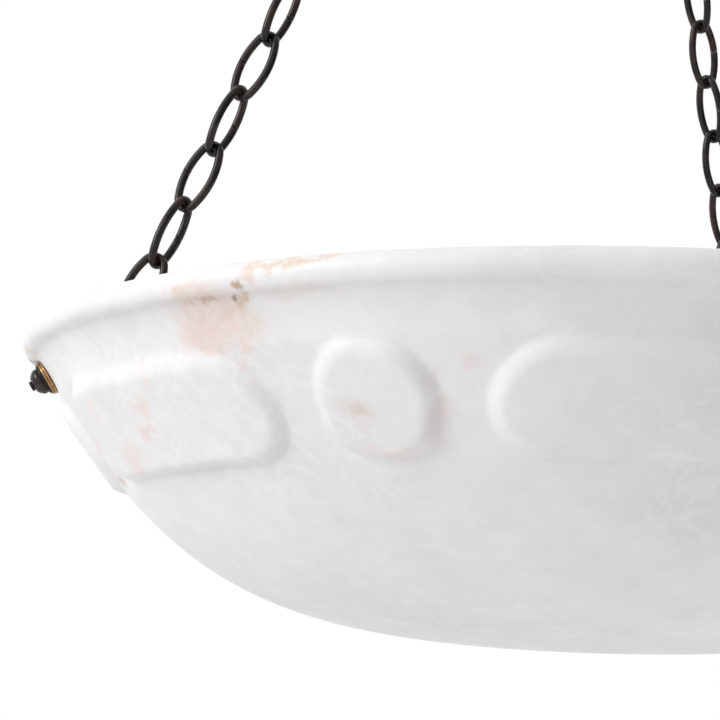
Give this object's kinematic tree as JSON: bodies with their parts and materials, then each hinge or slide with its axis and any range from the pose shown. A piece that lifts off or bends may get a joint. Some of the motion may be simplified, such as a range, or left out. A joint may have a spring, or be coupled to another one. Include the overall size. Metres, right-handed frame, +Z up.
{
  "type": "alabaster bowl pendant light",
  "caption": "Carved alabaster bowl pendant hung from a turned hub on bronze chains below a ceiling canopy, with a lamp cluster inside the bowl.",
  "frame": {"origin": "middle of the ceiling crossbar's top face, where it meets the ceiling", "axes": "+Z up along the pendant's axis, -Y towards the camera's side, X across"},
  "size_m": [0.6002, 0.6, 0.8252],
  "materials": {
    "alabaster": "carved and satin polished, softly veined",
    "bronze": "oil-rubbed dark bronze, satin gloss",
    "chain_bronze": "oil-rubbed dark bronze on steel wire, satin gloss",
    "brass": "polished and lacquered",
    "zinc_steel": "bright zinc",
    "nylon": "moulded",
    "fibre": "vulcanised fibre",
    "rubber": "matte",
    "porcelain": "glazed"
  },
  "bodies": {
    "ceiling": {"ceiling_crossbar": "zinc_steel", "stem_nipple": "zinc_steel", "stem_locknut": "zinc_steel", "ceiling_loop": "bronze"},
    "canopy_bell": {"canopy": "bronze"},
    "ring_nut": {"canopy_ring_nut": "bronze"},
    "link": {"top_link": "chain_bronze"},
    "pendant": {"hub_loop": "bronze", "chain_hub": "bronze", "hub_eyes": "bronze", "alabaster_bowl": "alabaster", "bowl_eye_nuts": "bronze", "wall_bolts": "zinc_steel", "wall_sleeves": "nylon", "fibre_washers": "fibre", "brass_rings": "brass", "brass_step_rings": "brass", "bronze_collars": "bronze", "rubber_washers": "rubber", "inner_washers": "brass", "lamp_arms": "zinc_steel", "junction_cup": "bronze", "cup_cover": "bronze", "cover_screws": "zinc_steel", "cord_bush": "nylon", "lampholder_bodies": "porcelain", "lampholder_shells": "brass", "lampholder_contacts": "brass", "lampholder_nipples": "zinc_steel", "lampholder_nuts": "zinc_steel", "chain_1": "chain_bronze", "chain_2": "chain_bronze", "chain_3": "chain_bronze", "finial_1": "bronze", "finial_2": "bronze", "finial_3": "bronze"}
  },
  "joints": [
    {"name": "canopy_slide", "type": "slide", "parent": "ceiling", "child": "canopy_bell", "axis": [0, 0, 1], "range_m": [-0.018, 0]},
    {"name": "ring_nut_turn", "type": "hinge", "parent": "canopy_bell", "child": "ring_nut", "pos_m": [0, 0, -0.0425], "axis": [0, 0, 1], "continuous": true},
    {"name": "link_swing", "type": "hinge", "parent": "ceiling", "child": "link", "pos_m": [0, 0, -0.073], "axis": [1, 0, 0], "range_deg": [-25, 25]},
    {"name": "pendant_swing", "type": "hinge", "parent": "link", "child": "pendant", "pos_m": [0, 0, -0.11275], "axis": [0, 1, 0], "range_deg": [-25, 25]}
  ]
}
